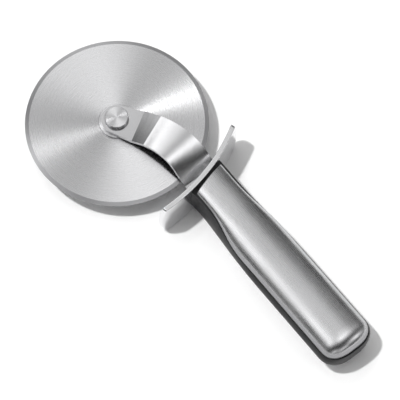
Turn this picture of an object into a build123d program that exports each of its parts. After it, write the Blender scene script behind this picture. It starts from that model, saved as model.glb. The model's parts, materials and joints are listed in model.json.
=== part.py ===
from build123d import *
import math
import os

# Hand-held pizza cutter lying on its side. Millimetres and degrees.
# The model is worked out about the wheel's hub: X runs along the handle, away
# from the wheel, Z is the wheel's axis and the blade's middle plane is z = 0.
# At the end every piece moves so that the origin is the bottom centre of the
# whole tool's box, with the guard's lower edge on the table.

# Blade
wheel_radius = 50.8
blade_thickness = 1.2
bevel_width = 2.2
edge_land = 0.25

# Hub, from the blade outwards
boss_radius = 10.3
boss_thickness = 1.1
boss_rim_round = 0.35
sleeve_radius = 6.0
bushing_radius = 4.4
washer_radius = 8.2
washer_thickness = 0.35
spin_gap = 0.05
backing_radius = 7.2
backing_thickness = 1.0

# Axle rivet
shank_radius = 3.0
head_top_radius = 6.35
head_base_radius = 6.6
head_height = 3.2
head_edge_round = 0.3
formed_head_radius = 5.6
formed_head_height = 1.6
formed_head_round = 0.9
rivet_seat_depth = 0.8
rivet_seat_gap = 0.55

# Neck strap: flat round the rivet, folded up to a straight ramp, creased again,
# bowed over the blade and curved sideways until it runs in line with the handle
strap_thickness = 2.0
strap_tip_radius = 8.6
strap_fold_width = 19.4
strap_guard_width = 21.4
strap_straight = 12.6
strap_flat_end = 3.0
neck_radius = 67.2
neck_turn_deg = 30.5
ramp_length = 8.7
ramp_rise = 2.5
bow_height = 4.1
bow_peak_share = 0.545
tang_width = 15.0
tang_length = 76.0
tang_end_radius = 3.0

# Thumb guard, a bent plate square to the line from the hub
guard_clearance = 8.7
guard_thickness = 2.7
guard_bend_radius = 109.3
guard_half_height = 13.0
guard_top_half_width = 31.2
guard_end_bulge = 3.0
guard_corner_radius = 1.8
guard_edge_round = 0.4
slot_gap = 0.2

# Handle
handle_end = 184.7
shell_front_gap = 1.8
shell_sheet = 1.0
shell_front_half_width = 10.5
shell_back_half_width = 14.6
shell_front_rise = 12.4
shell_back_rise = 12.9
lip_front_level = 9.0
lip_back_level = 4.5
widen_start = 50.0
widen_length = 75.0
lip_start = 74.5
lip_length = 32.0
end_round_length = 11.0
ledge_front = 1.3
ledge_back = 0.35
ledge_start = 62.0
ledge_length = 36.0
shell_hem = 0.6
grip_front_half_width = 12.3
grip_back_half_width = 16.3
grip_end_overhang = 0.8
core_nose_inset = 2.0
collar_set_in = 2.6

# Pins that hold the tang between the halves of the core
pin_radius = 2.0
pin_first = 88.0
pin_pitch = 38.0

# How square the sections are: 2 is an ellipse, more is squarer
crown_power = 2.08
end_power = 2.7
# Numbers of sections, and how far round the end the last one stands
body_steps = 16
end_steps = 12
end_last_deg = 84.0
arch_steps = 14
ramp_steps = 3
bow_steps = 8

# All cuts run past the faces that they open by this much
overrun = 1.0

# Levels and places worked out from the sizes above
blade_top = blade_thickness / 2
boss_top = blade_top + boss_thickness
washer_base = boss_top + spin_gap
strap_base = washer_base + washer_thickness
strap_top = strap_base + strap_thickness
backing_base = strap_base + backing_thickness
neck_turn = math.radians(neck_turn_deg)
handle_y = strap_straight * math.sin(neck_turn) + neck_radius * (1 - math.cos(neck_turn))
neck_end_x = strap_straight * math.cos(neck_turn) + neck_radius * math.sin(neck_turn)
neck_arc = neck_radius * neck_turn
guard_distance = wheel_radius + guard_clearance
guard_x = math.sqrt(guard_distance ** 2 - handle_y ** 2)
guard_bearing = math.atan2(handle_y, guard_x)
guard_back = guard_distance + guard_thickness
shell_front = guard_back + shell_front_gap
dive_end = strap_straight + neck_arc + guard_x - strap_flat_end - neck_end_x
peak_at = strap_straight + bow_peak_share * (dive_end - strap_straight)
crease_at = strap_straight + ramp_length
tang_top = strap_thickness / 2
handle_start = guard_x - grip_back_half_width
end_round_start = handle_end - end_round_length


def smooth(value, start, length):
    share = min(max((value - start) / length, 0), 1)
    return share * share * (3 - 2 * share)


def neck_place(run):
    """Plan position and heading at a distance along the neck from the hub."""
    if run <= strap_straight:
        return run * math.cos(neck_turn), run * math.sin(neck_turn), neck_turn
    if run <= strap_straight + neck_arc:
        heading = neck_turn - (run - strap_straight) / neck_radius
        x = neck_end_x - neck_radius * math.sin(heading)
        y = handle_y - neck_radius * (1 - math.cos(heading))
        return x, y, heading
    return neck_end_x + run - strap_straight - neck_arc, handle_y, 0.0


def bow_level(run):
    """Height of the strap's upper face: a ramp, a rise to the peak, then a dive."""
    if run < crease_at:
        return strap_top + ramp_rise * (run - strap_straight) / ramp_length
    peak = strap_top + bow_height
    if run < peak_at:
        share = (peak_at - run) / (peak_at - crease_at)
        return peak - (bow_height - ramp_rise) * share ** 2
    share = (run - peak_at) / (dive_end - peak_at)
    return peak - (peak - tang_top) * share ** 2


def bow_slope(run):
    if run < crease_at:
        return ramp_rise / ramp_length
    if run < peak_at:
        return 2 * (bow_height - ramp_rise) * (peak_at - run) / (peak_at - crease_at) ** 2
    return -2 * (strap_top + bow_height - tang_top) * (run - peak_at) / (dive_end - peak_at) ** 2


def ring(outer, inner, base, height):
    body = Cylinder(outer, height, align=(Align.CENTER, Align.CENTER, Align.MIN))
    hole = Cylinder(inner, height + 2 * overrun, align=(Align.CENTER, Align.CENTER, Align.MIN))
    return Pos(0, 0, base) * body - Pos(0, 0, base - overrun) * hole


def make_blade():
    """Flat disc ground to a bevel on both faces, with a bore for the hub."""
    face_radius = wheel_radius - bevel_width
    half = blade_thickness / 2
    outline = Polyline(
        (sleeve_radius, -half),
        (face_radius, -half),
        (wheel_radius, -edge_land / 2),
        (wheel_radius, edge_land / 2),
        (face_radius, half),
        (sleeve_radius, half),
        close=True,
    )
    return revolve(Plane.XZ * make_face(outline), Axis.Z)


def make_hub_boss():
    """Upper hub flange with the sleeve that passes through the blade."""
    flange = ring(boss_radius, bushing_radius, blade_top, boss_thickness)
    rim = flange.edges().filter_by(GeomType.CIRCLE).sort_by(SortBy.RADIUS)[-2:]
    flange = fillet(rim.sort_by(Axis.Z)[-1], boss_rim_round)
    sleeve = ring(sleeve_radius, bushing_radius, -boss_top, boss_top + blade_top)
    return flange + sleeve


def make_hub_ring():
    """Lower hub flange, pressed on the sleeve under the blade."""
    flange = ring(boss_radius, sleeve_radius, -boss_top, boss_thickness)
    rim = flange.edges().filter_by(GeomType.CIRCLE).sort_by(SortBy.RADIUS)[-2:]
    return fillet(rim.sort_by(Axis.Z)[0], boss_rim_round)


def make_hub_bushing():
    return ring(bushing_radius, shank_radius + spin_gap, -boss_top, 2 * boss_top)


def make_axle_rivet():
    """Broad turned head above the strap, shank, and the formed head below."""
    head_base = strap_top - rivet_seat_depth
    head_top = head_base + head_height
    head = Pos(0, 0, head_base) * Cone(
        head_base_radius, head_top_radius, head_height,
        align=(Align.CENTER, Align.CENTER, Align.MIN),
    )
    head = fillet(head.edges().sort_by(Axis.Z)[-1], head_edge_round)
    shank_bottom = -backing_base
    shank = Pos(0, 0, shank_bottom) * Cylinder(
        shank_radius, head_base - shank_bottom,
        align=(Align.CENTER, Align.CENTER, Align.MIN),
    )
    formed = Pos(0, 0, shank_bottom - formed_head_height) * Cylinder(
        formed_head_radius, formed_head_height,
        align=(Align.CENTER, Align.CENTER, Align.MIN),
    )
    formed = fillet(formed.edges().sort_by(Axis.Z)[0], formed_head_round)
    return head + shank + formed


def strap_section(run, flat):
    """Upright section of the strap, as deep as the plate is where its end is flat."""
    x, y, heading = neck_place(run)
    slope = 0 if flat else bow_slope(run)
    height = strap_thickness * math.sqrt(1 + slope ** 2)
    share = (run - strap_straight) / (dive_end - strap_straight)
    width = strap_fold_width + share * (strap_guard_width - strap_fold_width)
    along = (math.cos(heading), math.sin(heading), 0)
    across = (-math.sin(heading), math.cos(heading), 0)
    plane = Plane(origin=(x, y, bow_level(run) - height / 2), x_dir=across, z_dir=along)
    return plane * Rectangle(width, height)


def guard_region(radius_inside, radius_outside, half_height):
    """Block between two cylinders that share the guard's centre of bend."""
    centre = guard_distance - guard_bend_radius
    outer = Cylinder(radius_outside, 2 * half_height)
    inner = Cylinder(radius_inside, 2 * half_height + 2 * overrun)
    block = Pos(centre, 0, 0) * (outer - inner)
    return Rot(0, 0, math.degrees(guard_bearing)) * block


def make_neck_strap():
    tip = Circle(strap_tip_radius) + make_face(Polyline(
        (0, -strap_tip_radius),
        (strap_straight, -strap_fold_width / 2),
        (strap_straight, strap_fold_width / 2),
        (0, strap_tip_radius),
        close=True,
    ))
    plate = Pos(0, 0, strap_base) * extrude(tip, strap_thickness)
    plate = Rot(0, 0, neck_turn_deg) * plate

    ramp = [strap_section(strap_straight, True)]
    for step in range(1, ramp_steps + 1):
        ramp.append(strap_section(strap_straight + step * ramp_length / ramp_steps, False))
    rise = [ramp[-1]]
    for step in range(1, bow_steps):
        run = crease_at + step * (dive_end - crease_at) / bow_steps
        rise.append(strap_section(run, False))
    rise.append(strap_section(dive_end, True))
    bow = loft(ramp, ruled=True) + loft(rise)

    # The full width runs on to the guard and follows its skew and bend
    flat_start = neck_place(dive_end)[0]
    flat_length = guard_top_half_width
    flat = Pos(flat_start + flat_length / 2, handle_y, 0) * Box(
        flat_length, strap_guard_width, strap_thickness)
    beyond = guard_region(guard_bend_radius, 2 * guard_bend_radius, guard_half_height)
    broad = plate + bow + flat - beyond

    tang_run = guard_x + tang_length - flat_start
    tang = Pos(flat_start + tang_run / 2, handle_y, 0) * Box(tang_run, tang_width, strap_thickness)
    tang = fillet(tang.edges().filter_by(Axis.Z).group_by(Axis.X)[-1], tang_end_radius)
    strap = broad + tang
    hole = Cylinder(shank_radius + spin_gap, 2 * guard_half_height)
    seat = Pos(0, 0, strap_top - rivet_seat_depth) * Cylinder(
        head_base_radius + rivet_seat_gap, head_height,
        align=(Align.CENTER, Align.CENTER, Align.MIN),
    )
    strap = strap - hole - seat
    for pin in range(2):
        x = pin_first + pin * pin_pitch
        strap = strap - Pos(x, handle_y, 0) * Cylinder(pin_radius, 2 * guard_half_height)
    return strap


def make_thumb_guard():
    corner = guard_top_half_width
    tall = guard_half_height
    middle = corner + guard_end_bulge
    edge = [
        Line((-corner, -tall), (corner, -tall)),
        ThreePointArc((corner, -tall), (middle, 0), (corner, tall)),
        Line((corner, tall), (-corner, tall)),
        ThreePointArc((-corner, tall), (-middle, 0), (-corner, -tall)),
    ]
    face = make_face(edge)
    face = fillet(face.vertices(), guard_corner_radius)
    depth = 2 * guard_bend_radius
    block = extrude(Plane.YZ * face, depth)
    block = Rot(0, 0, math.degrees(guard_bearing)) * block
    plate = guard_region(guard_bend_radius, guard_bend_radius + guard_thickness, tall) & block
    rims = plate.edges().filter_by(
        lambda rim: abs(rim.center().Z) > tall - overrun / 2 or rim.length > tall)
    plate = fillet(rims, guard_edge_round)
    x = guard_x
    slot = Pos(x, handle_y, 0) * Box(
        guard_top_half_width, tang_width + 2 * slot_gap, strap_thickness + 2 * slot_gap)
    return plate - slot


def grip_half_width(x):
    spread = grip_back_half_width - grip_front_half_width
    return grip_front_half_width + spread * smooth(x, widen_start, widen_length)


def shell_half_width(x):
    spread = shell_back_half_width - shell_front_half_width
    return shell_front_half_width + spread * smooth(x, lip_start, lip_length)


def ledge_half_width(x):
    """The band's flat top reaches past the shell's edge by a narrow ledge."""
    spread = ledge_back - ledge_front
    return shell_half_width(x) + ledge_front + spread * smooth(x, ledge_start, ledge_length)


def lip_level(x):
    drop = lip_front_level - lip_back_level
    return lip_front_level - drop * smooth(x, lip_start, lip_length)


def crown_rise(x):
    return shell_front_rise + (shell_back_rise - shell_front_rise) * smooth(x, widen_start, widen_length)


def crown_points(width, base, rise):
    """A squarish arch from one lip over the top to the other."""
    points = []
    for step in range(arch_steps + 1):
        angle = math.pi * step / arch_steps
        c, s = math.cos(angle), math.sin(angle)
        y = width * math.copysign(abs(c) ** (2 / crown_power), c)
        z = base + (rise - base) * abs(s) ** (2 / crown_power)
        points.append((y, z))
    return points


def crown_section(x, width, base, rise):
    """Full section of the handle's body: an arch, its mirror and upright sides."""
    upper = crown_points(width, base, rise)
    lower = [(-y, -z) for y, z in upper]
    edges = [
        Spline(*upper),
        Line(upper[-1], lower[0]),
        Spline(*lower),
        Line(lower[-1], upper[0]),
    ]
    return Plane(origin=(x, handle_y, 0), x_dir=(0, 1, 0), z_dir=(1, 0, 0)) * make_face(edges)


def grip_section(x, width, flat, level):
    """Section of the soft band: flat above and below, rounded out at the sides."""
    edges = [
        Line((-flat, -level), (flat, -level)),
        ThreePointArc((flat, -level), (width, 0), (flat, level)),
        Line((flat, level), (-flat, level)),
        ThreePointArc((-flat, level), (-width, 0), (-flat, -level)),
    ]
    return Plane(origin=(x, handle_y, 0), x_dir=(0, 1, 0), z_dir=(1, 0, 0)) * make_face(edges)


def body_stations():
    """Places of the sections from inside the front cut to the rounded end."""
    pitch = (end_round_start - handle_start) / body_steps
    return [handle_start + step * pitch for step in range(body_steps + 1)]


def end_stations(length):
    """Places round the end, each with the share of the full size left there."""
    stations = []
    for step in range(end_steps + 1):
        angle = math.radians(end_last_deg) * step / end_steps
        x = end_round_start + length * math.sin(angle) ** (2 / end_power)
        stations.append((x, math.cos(angle) ** (2 / end_power)))
    return stations


def handle_body(set_in, drop):
    """The domed body of the handle, made smaller all round by the two values."""
    sections = []
    for x in body_stations():
        width = shell_half_width(x) - set_in
        sections.append(crown_section(x, width, lip_level(x), crown_rise(x) - drop))
    caps = []
    for x, share in end_stations(end_round_length - set_in):
        width = (shell_back_half_width - set_in) * share
        rise = lip_back_level + (shell_back_rise - drop - lip_back_level) * share
        caps.append(crown_section(x, width, lip_back_level, rise))
    return loft(sections) + loft(caps)


def grip_body():
    """The soft band's outer form, before the core is taken out of it."""
    sections = []
    for x in body_stations():
        flat = ledge_half_width(x)
        sections.append(grip_section(x, grip_half_width(x), flat, lip_level(x) - shell_hem))
    caps = []
    for x, share in end_stations(end_round_length + grip_end_overhang):
        flat = (shell_back_half_width + ledge_back) * share
        caps.append(grip_section(x, grip_back_half_width * share, flat, lip_back_level - shell_hem))
    return loft(sections) + loft(caps)


def front_cut():
    """Everything on the wheel's side of the shells' skewed front face."""
    size = 2 * handle_end
    block = Pos(shell_front - size / 2, 0, 0) * Box(size, size, size)
    return Rot(0, 0, math.degrees(guard_bearing)) * block


def guard_side():
    """Everything on the wheel's side of the guard's back face."""
    radius = guard_bend_radius + guard_thickness
    block = Pos(guard_distance - guard_bend_radius, 0, 0) * Cylinder(radius, 2 * radius)
    return Rot(0, 0, math.degrees(guard_bearing)) * block


def tang_space():
    reach = tang_length + slot_gap
    return Pos(guard_x + reach / 2, handle_y, 0) * Box(
        reach, tang_width + 2 * slot_gap, strap_thickness)


def pin_holes():
    holes = []
    for pin in range(2):
        x = pin_first + pin * pin_pitch
        holes.append(Pos(x, handle_y, 0) * Cylinder(pin_radius, 2 * shell_back_rise))
    return holes


def half_space(side):
    size = 2 * handle_end
    return Pos(0, 0, side * size / 2) * Box(2 * size, size, size)


def make_handle():
    """Shells, soft band and core halves, cut from the same body."""
    outer = handle_body(0, 0)
    inner = handle_body(shell_sheet, shell_sheet)
    band = grip_body()
    cut = front_cut()
    wheel_side = guard_side()
    shell = outer - inner - band - cut
    pieces = {}
    upper = shell & half_space(1)
    lower = shell & half_space(-1)
    pieces["upper_shell"] = upper.solids().sort_by(SortBy.VOLUME)[-1]
    pieces["lower_shell"] = lower.solids().sort_by(SortBy.VOLUME)[-1]

    # A plug of the core reaches the guard inside a soft collar
    nose_width = 2 * (shell_front_half_width - core_nose_inset)
    nose_height = 2 * (lip_front_level - core_nose_inset)
    nose_length = 2 * (shell_front - guard_x)
    nose = Pos(guard_x + nose_length / 2, handle_y, 0) * Box(nose_length, nose_width, nose_height)
    nose = fillet(nose.edges().filter_by(Axis.X), core_nose_inset) - wheel_side
    filling = inner - cut
    collar = (handle_body(collar_set_in, collar_set_in) & cut) - wheel_side
    grip = (band - wheel_side) + collar - filling - nose
    pieces["grip_band"] = grip.solids().sort_by(SortBy.VOLUME)[-1]

    core = filling + nose - tang_space()
    for hole in pin_holes():
        core = core - hole
    pieces["core_upper"] = (core & half_space(1)).solids().sort_by(SortBy.VOLUME)[-1]
    pieces["core_lower"] = (core & half_space(-1)).solids().sort_by(SortBy.VOLUME)[-1]
    return pieces


def make_tang_pins():
    """Two pins through both halves of the core and the tang between them."""
    pins = []
    for pin in range(2):
        x = pin_first + pin * pin_pitch
        rise = crown_rise(x) - 2 * shell_sheet
        pins.append(Pos(x, handle_y, 0) * Cylinder(pin_radius, 2 * rise))
    return Compound(children=pins)


pieces = {
    "blade": make_blade(),
    "hub_boss": make_hub_boss(),
    "hub_ring": make_hub_ring(),
    "hub_bushing": make_hub_bushing(),
    "axle_rivet": make_axle_rivet(),
    "upper_washer": ring(washer_radius, shank_radius + spin_gap, washer_base, washer_thickness),
    "lower_washer": ring(washer_radius, shank_radius + spin_gap, -strap_base, washer_thickness),
    "backing_washer": ring(backing_radius, shank_radius + spin_gap, -backing_base, backing_thickness),
    "neck_strap": make_neck_strap(),
    "thumb_guard": make_thumb_guard(),
    "tang_pins": make_tang_pins(),
}
pieces.update(make_handle())

box = Compound(children=[Compound(children=piece.solids()) for piece in pieces.values()]).bounding_box()
shift = (-(box.min.X + box.max.X) / 2, -(box.min.Y + box.max.Y) / 2, -box.min.Z)

os.makedirs("parts", exist_ok=True)
for name, piece in pieces.items():
    solids = [Pos(*shift) * solid for solid in piece.solids()]
    shape = solids[0] if len(solids) == 1 else Compound(children=solids)
    export_step(shape, f"parts/{name}.step")

print("hub axis at", [round(value, 4) for value in shift])
print("box size", [round(value, 3) for value in box.size])
print("guard front face centre", round(guard_x + shift[0], 4), round(handle_y + shift[1], 4))
print("guard bearing in degrees", round(math.degrees(guard_bearing), 4))
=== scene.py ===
import bpy
import json
import math
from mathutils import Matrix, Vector


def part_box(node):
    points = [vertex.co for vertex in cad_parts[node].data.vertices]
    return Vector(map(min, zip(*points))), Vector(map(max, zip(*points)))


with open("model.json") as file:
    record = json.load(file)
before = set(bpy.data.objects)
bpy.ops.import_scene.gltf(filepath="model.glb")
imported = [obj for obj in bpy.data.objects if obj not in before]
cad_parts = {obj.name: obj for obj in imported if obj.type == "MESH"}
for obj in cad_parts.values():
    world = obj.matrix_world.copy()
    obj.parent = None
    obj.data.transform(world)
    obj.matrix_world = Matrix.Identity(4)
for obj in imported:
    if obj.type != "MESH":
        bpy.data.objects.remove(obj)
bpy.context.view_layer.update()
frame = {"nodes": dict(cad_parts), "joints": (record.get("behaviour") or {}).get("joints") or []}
nodes = frame["nodes"]
hub = Vector(frame["joints"][0]["pos_m"])

# Lengths are in metres, as in the frame
MM = 0.001

# The camera looks across the handle from above, from far off. Its focal length
# is given in the photograph's pixels, 400 to a side.
camera_azimuth = math.radians(51.7)
camera_elevation = math.radians(65.76)
camera_distance = 1200 * MM
camera_aim = hub + Vector((65.35 * MM, 6.75 * MM, 0))
camera_reach = 100
focal_pixels = 2210
photo_pixels = 400
sensor_millimetres = 36

# The photograph's right and up, laid flat on the floor, and the way up from it
right = Vector((math.cos(camera_azimuth), math.sin(camera_azimuth), 0))
ahead = Vector((-math.sin(camera_azimuth), math.cos(camera_azimuth), 0))
up = Vector((0, 0, 1))

# The wheel and the bevel ground on its rim
wheel_low, wheel_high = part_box("blade")
wheel_radius = (wheel_high[0] - wheel_low[0]) / 2
bevel_width = 2.2 * MM

# Colours
steel_tint = (0.68, 0.68, 0.69, 1)
guard_tint = (0.82, 0.82, 0.83, 1)
bevel_tint = (0.44, 0.44, 0.45, 1)
# The shells' steep sides: painted shade, a darker steel colour than their tops
shell_side_painted_shade = (0.34, 0.34, 0.35, 1)
grip_black = (0.018, 0.018, 0.019, 1)
plastic_black = (0.045, 0.045, 0.048, 1)
nylon_white = (0.80, 0.79, 0.75, 1)
floor_white = (1.0, 1.0, 1.0, 1)
floor_bounce = (0.55, 0.55, 0.55, 1)
light_white = (1, 1, 1, 1)

# The shells' steep sides are painted darker than their tops: painted shade that stands in for
# the dark reflection along them.
# The normal's height is below the first level on a side, above the second on top.
side_level = 0.40
top_level = 0.75

# Marks to the metre, along the handle and across it
handle_marks = (25, 7000, 7000)
# Marks to the metre in a finish that has no direction
fine_marks = (2500, 2500, 2500)
# Marks round the axle: how many to the metre of radius, and how broken up round
# it. The blade has wider bands over its marks.
ring_lines = 8000
ring_arcs = 5
band_lines = 2500
band_arcs = 2
# Patches to the metre, from handling
patch_scale = 60

# How much marks, bands and patches change the roughness, up and down
mark_swing = 0.05
blade_mark_swing = 0.04
band_swing = 0.015
patch_swing = 0.02
# The roughness of the blade's faces, and how much its bevel adds
blade_roughness = 0.27
bevel_roughness = 0.1

# Brushed steel spreads its shine across its marks, a quarter turn from them
across_marks = 0.25
blade_anisotropy = 0.95
# The flanks of the blade's grooves lean a little towards the axle
groove_lean = -0.06
# How deep the marks and grain are, and how much of that the blade shows
steel_mark_height = 0.02 * MM
plastic_grain_height = 0.03 * MM
blade_depth = 0.1

# Noise lies mostly between these two values
noise_low = 0.3
noise_high = 0.7

# Where a colour mix has its share, its two colours and its result
mix_share = 0
mix_first = 6
mix_second = 7
mix_result = 2


class Graph:
    """The node tree of a material or world, with short calls that add to it."""

    def __init__(self, owner):
        owner.use_nodes = True
        self.tree = owner.node_tree
        self.tree.nodes.clear()

    def add(self, kind, settings=None, **inputs):
        """A new node. A space in an input's name is written as an underscore."""
        node = self.tree.nodes.new(kind)
        for name, value in (settings or {}).items():
            setattr(node, name, value)
        for name, value in inputs.items():
            self.put(node.inputs[name.replace("_", " ")], value)
        return node

    def put(self, socket, value):
        """Links a socket to another one, or gives it a value."""
        if isinstance(value, bpy.types.NodeSocket):
            self.tree.links.new(value, socket)
        else:
            socket.default_value = value

    def work_out(self, kind, operation, values):
        """A node that works out a value from others."""
        node = self.add(kind, {"operation": operation})
        for socket, value in zip(node.inputs, values):
            self.put(socket, value)
        return node

    def math(self, operation, *values):
        return self.work_out("ShaderNodeMath", operation, values).outputs[0]

    def vector(self, operation, *values):
        node = self.work_out("ShaderNodeVectorMath", operation, values)
        return node.outputs["Value" if operation in ("LENGTH", "DOT_PRODUCT") else "Vector"]

    def scale(self, vector, factor):
        node = self.add(
            "ShaderNodeVectorMath", {"operation": "SCALE"}, Vector=vector, Scale=factor)
        return node.outputs["Vector"]

    def ramp(self, value, low, high, to_low, to_high, curve="LINEAR"):
        node = self.add(
            "ShaderNodeMapRange", {"interpolation_type": curve},
            Value=value, From_Min=low, From_Max=high, To_Min=to_low, To_Max=to_high)
        return node.outputs[0]

    def around(self, noise, middle, swing):
        """Noise as a value that swings up and down round a middle."""
        return self.ramp(noise, noise_low, noise_high, middle - swing, middle + swing)

    def noise(self, vector, scale=1.0, detail=2.0):
        """Noise with so many grains to the unit of the vector."""
        node = self.add("ShaderNodeTexNoise", Vector=vector, Scale=scale, Detail=detail)
        return node.outputs[0]

    def mix(self, share, first, second):
        """The first colour where the share is 0, the second where it is 1."""
        node = self.add("ShaderNodeMix", {"data_type": "RGBA"})
        self.put(node.inputs[mix_share], share)
        self.put(node.inputs[mix_first], first)
        self.put(node.inputs[mix_second], second)
        return node.outputs[mix_result]

    def bump(self, marks, depth, height, **inputs):
        node = self.add(
            "ShaderNodeBump", Strength=depth, Distance=height, Height=marks, **inputs)
        return node.outputs[0]

    def to_world(self, vector):
        node = self.add(
            "ShaderNodeVectorTransform",
            {"vector_type": "VECTOR", "convert_from": "OBJECT", "convert_to": "WORLD"},
            Vector=vector)
        return node.outputs[0]

    def place(self):
        """The point on the surface, in the part's frame."""
        return self.add("ShaderNodeTexCoord").outputs["Object"]

    def levelness(self):
        """1 where the surface is level in the part's frame, 0 where it is upright."""
        normal = self.add("ShaderNodeTexCoord").outputs["Normal"]
        height = self.add("ShaderNodeSeparateXYZ", Vector=normal).outputs["Z"]
        return self.math("ABSOLUTE", height)

    def metal(self, colour, roughness, bump, anisotropy, direction=None):
        """Metal that spreads its shine across the direction of its marks."""
        shader = self.add(
            "ShaderNodeBsdfPrincipled", Base_Color=colour, Metallic=1.0, Roughness=roughness,
            Normal=bump, Anisotropic=anisotropy, Anisotropic_Rotation=across_marks)
        if direction is not None:
            self.put(shader.inputs["Tangent"], self.to_world(direction))
        self.finish(shader)

    def finish(self, shader, output="ShaderNodeOutputMaterial"):
        end = self.tree.nodes.new(output)
        self.tree.links.new(shader.outputs[0], end.inputs["Surface"])


def new_material(name):
    material = bpy.data.materials.new(name)
    return material, Graph(material)


def from_axle(graph, point):
    """The level line from the wheel's axle to a point."""
    return graph.vector("MULTIPLY", graph.vector("SUBTRACT", point, tuple(hub)), (1, 1, 0))


def round_axle(graph, point):
    """The direction round the wheel's axle."""
    return graph.vector("CROSS_PRODUCT", tuple(up), from_axle(graph, point))


def ring_grain(graph, point, lines=ring_lines, arcs=ring_arcs):
    """Marks that run round the axle: fine across the radius, long round it."""
    flat = from_axle(graph, point)
    along = graph.vector("MULTIPLY", graph.vector("NORMALIZE", flat), (arcs, arcs, 0))
    fine = graph.math("MULTIPLY", graph.vector("LENGTH", flat), lines)
    across = graph.add("ShaderNodeCombineXYZ", Z=fine).outputs[0]
    return graph.vector("ADD", along, across)


def handle_grain(graph, point):
    """Marks that run along the handle."""
    return graph.vector("MULTIPLY", point, handle_marks)


def along_handle(graph, point):
    """The handle's direction, the same at every point."""
    return (1, 0, 0)


def fine_grain(graph, point):
    """Fine marks that run no way in particular."""
    return graph.vector("MULTIPLY", point, fine_marks)


def steel(name, grain, direction=None, roughness=0.3, anisotropy=0.0, depth=0.15,
          tint=steel_tint, painted_side_shade=None):
    """Steel with fine marks. From a point, grain gives its place among the marks,
    and direction the way that they run there."""
    material, graph = new_material(name)
    point = graph.place()
    marks = graph.noise(grain(graph, point), detail=3.0)
    rough = graph.math(
        "ADD", graph.around(marks, roughness, mark_swing),
        graph.around(graph.noise(point, patch_scale), 0, patch_swing))
    colour = tint
    # Where a side colour is given, the steep sides are painted darker than the top: painted
    # shade
    if painted_side_shade:
        top = graph.ramp(graph.levelness(), side_level, top_level, 0, 1, "SMOOTHSTEP")
        colour = graph.mix(top, painted_side_shade, tint)
    graph.metal(
        colour, rough, graph.bump(marks, depth, steel_mark_height), anisotropy,
        direction(graph, point) if direction else None)
    return material


def blade_steel():
    """Circular brushing on the faces and a coarser grind on the bevel."""
    material, graph = new_material("blade_brushed")
    point = graph.place()
    flat = from_axle(graph, point)
    edge_start = wheel_radius - bevel_width
    edge = graph.math("GREATER_THAN", graph.vector("LENGTH", flat), edge_start)
    marks = graph.noise(ring_grain(graph, point), detail=3.0)
    bands = graph.noise(ring_grain(graph, point, band_lines, band_arcs))
    face_rough = graph.math(
        "ADD", graph.around(marks, blade_roughness, blade_mark_swing),
        graph.around(bands, 0, band_swing))
    rough = graph.math("ADD", face_rough, graph.math("MULTIPLY", edge, bevel_roughness))
    lean = graph.scale(graph.to_world(graph.vector("NORMALIZE", flat)), groove_lean)
    flank = graph.vector("ADD", graph.add("ShaderNodeNewGeometry").outputs["Normal"], lean)
    graph.metal(
        graph.mix(edge, steel_tint, bevel_tint), rough,
        graph.bump(marks, blade_depth, steel_mark_height, Normal=flank), blade_anisotropy,
        round_axle(graph, point))
    return material


def moulded(name, colour, clouds=200, roughness=0.44, swing=0.06, grains=2500, depth=0.15,
            gloss=0.5):
    """Moulded plastic or rubber: cloudy gloss and a fine grain, both to the metre."""
    material, graph = new_material(name)
    point = graph.place()
    rough = graph.around(graph.noise(point, clouds, detail=3.0), roughness, swing)
    bump = graph.bump(graph.noise(point, grains), depth, plastic_grain_height)
    graph.finish(graph.add(
        "ShaderNodeBsdfPrincipled", Base_Color=colour, Roughness=rough, Normal=bump,
        Specular_IOR_Level=gloss))
    return material


def dress(name, material):
    for slot in nodes[name].material_slots:
        slot.link = "OBJECT"
        slot.material = material


turned = steel(
    "steel_turned", ring_grain, round_axle, roughness=0.3, anisotropy=0.9, depth=0.25)
plain = steel("steel_plain", fine_grain, roughness=0.3)
neck = steel(
    "steel_neck", handle_grain, along_handle, roughness=0.16, anisotropy=0.3, depth=0.08)
guard = steel("steel_guard", fine_grain, roughness=0.2, depth=0.05, tint=guard_tint)
shell = steel(
    "steel_shell", handle_grain, along_handle, roughness=0.28, anisotropy=0.7,
    painted_side_shade=shell_side_painted_shade)
rubber = moulded(
    "grip_rubber", grip_black, clouds=90, roughness=0.47, swing=0.05, grains=4000, depth=0.25,
    gloss=0.35)
finishes = {
    "blade": blade_steel(),
    "hub_boss": turned,
    "hub_ring": turned,
    "axle_rivet": turned,
    "hub_bushing": moulded("nylon", nylon_white),
    "upper_washer": plain,
    "lower_washer": plain,
    "backing_washer": plain,
    "tang_pins": plain,
    "neck_strap": neck,
    "thumb_guard": guard,
    "upper_shell": shell,
    "lower_shell": shell,
    "grip_band": rubber,
    "core_upper": moulded("core_plastic", plastic_black),
    "core_lower": moulded("core_plastic_lower", plastic_black),
}
for node_name, finish in finishes.items():
    dress(node_name, finish)


def add_floor(size):
    """A floor that is white to the eye and in steel, and throws back less light."""
    bpy.ops.mesh.primitive_plane_add(size=size, location=(0, 0, 0))
    floor = bpy.context.object
    floor.name = "floor"
    material, graph = new_material("floor")
    rays = graph.add("ShaderNodeLightPath").outputs
    seen = graph.math("MAXIMUM", rays["Is Camera Ray"], rays["Is Glossy Ray"])
    seen = graph.math("MAXIMUM", seen, rays["Is Transmission Ray"])
    tone = graph.mix(seen, floor_bounce, floor_white)
    graph.finish(graph.add("ShaderNodeBsdfDiffuse", Color=tone))
    floor.data.materials.append(material)


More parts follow.
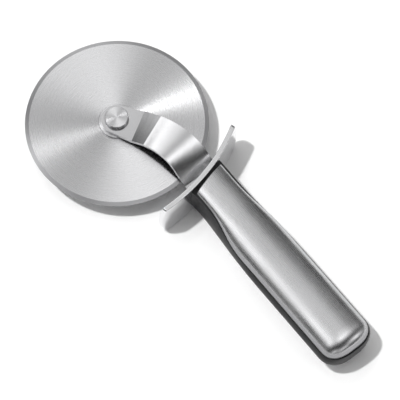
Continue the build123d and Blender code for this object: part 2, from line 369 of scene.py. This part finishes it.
def add_lamp(name, toward, distance, size, power, mirrored=True):
    """A square lamp that faces the object from a direction in the photograph:
    right, ahead and up. Where it isn't mirrored, steel doesn't show it."""
    direction = (right * toward[0] + ahead * toward[1] + up * toward[2]).normalized()
    lamp = bpy.data.lights.new(name, "AREA")
    lamp.shape = "SQUARE"
    lamp.size = size
    lamp.energy = power
    holder = bpy.data.objects.new(name, lamp)
    holder.location = camera_aim + direction * distance
    holder.rotation_euler = direction.to_track_quat("Z", "Y").to_euler()
    holder.visible_glossy = mirrored
    bpy.context.scene.collection.objects.link(holder)


# Soft cards far off: each one's place to the photograph's right and ahead, as
# shares of the way to the horizon, and its brightness
cards = {
    "overhead": (0.00, -0.03, 1.85),
    "overhead_right": (0.20, 0.22, 1.35),
    "overhead_left": (-0.22, 0.35, 0.2),
    "ahead": (-0.15, 0.60, 1.5),
    "ahead_low": (-0.18, 0.78, 1.1),
    "ahead_wall": (-0.11, 0.92, 0.8),
    "left": (-0.55, 0.16, 2.2),
    "left_near": (-0.55, -0.23, 2.0),
    "right_low": (0.77, -0.23, 2.0),
    "right_far": (0.55, 0.54, 0.45),
    "near": (0.44, -0.80, 1.1),
    "near_left": (-0.15, -0.92, 1.1),
    "right_wall": (0.90, 0.10, 0.5),
}
# How fast a card fades away from its middle, and the room's light between cards
card_focus = 45.0
room_level = 0.02


def add_world():
    """A dark studio with soft cards round it."""
    world = bpy.data.worlds.new("studio")
    graph = Graph(world)
    toward = graph.add("ShaderNodeTexCoord").outputs["Generated"]
    light = room_level
    for across, along, brightness in cards.values():
        rise = math.sqrt(1 - across ** 2 - along ** 2)
        centre = right * across + ahead * along + up * rise
        nearness = graph.math(
            "SUBTRACT", graph.vector("DOT_PRODUCT", toward, tuple(centre)), 1.0)
        glow = graph.math("EXPONENT", graph.math("MULTIPLY", nearness, card_focus))
        light = graph.math("ADD", light, graph.math("MULTIPLY", glow, brightness))
    graph.finish(
        graph.add("ShaderNodeBackground", Color=light_white, Strength=light),
        output="ShaderNodeOutputWorld")
    bpy.context.scene.world = world


def add_camera():
    lens = bpy.data.cameras.new("camera")
    lens.sensor_width = sensor_millimetres
    lens.lens = focal_pixels / photo_pixels * sensor_millimetres
    lens.clip_end = camera_reach
    eye = bpy.data.objects.new("camera", lens)
    direction = up * math.sin(camera_elevation) - ahead * math.cos(camera_elevation)
    eye.location = camera_aim + direction * camera_distance
    eye.rotation_euler = direction.to_track_quat("Z", "Y").to_euler()
    bpy.context.scene.collection.objects.link(eye)
    bpy.context.scene.camera = eye


add_floor(size=8)
add_lamp("key", toward=(-0.43, 0.02, 1), distance=3.0, size=0.16, power=56, mirrored=False)
add_lamp("streak", toward=(-0.299, 0.352, 0.887), distance=3.0, size=0.08, power=3.2)
add_world()
add_camera()
bpy.context.scene.view_settings.view_transform = "Standard"
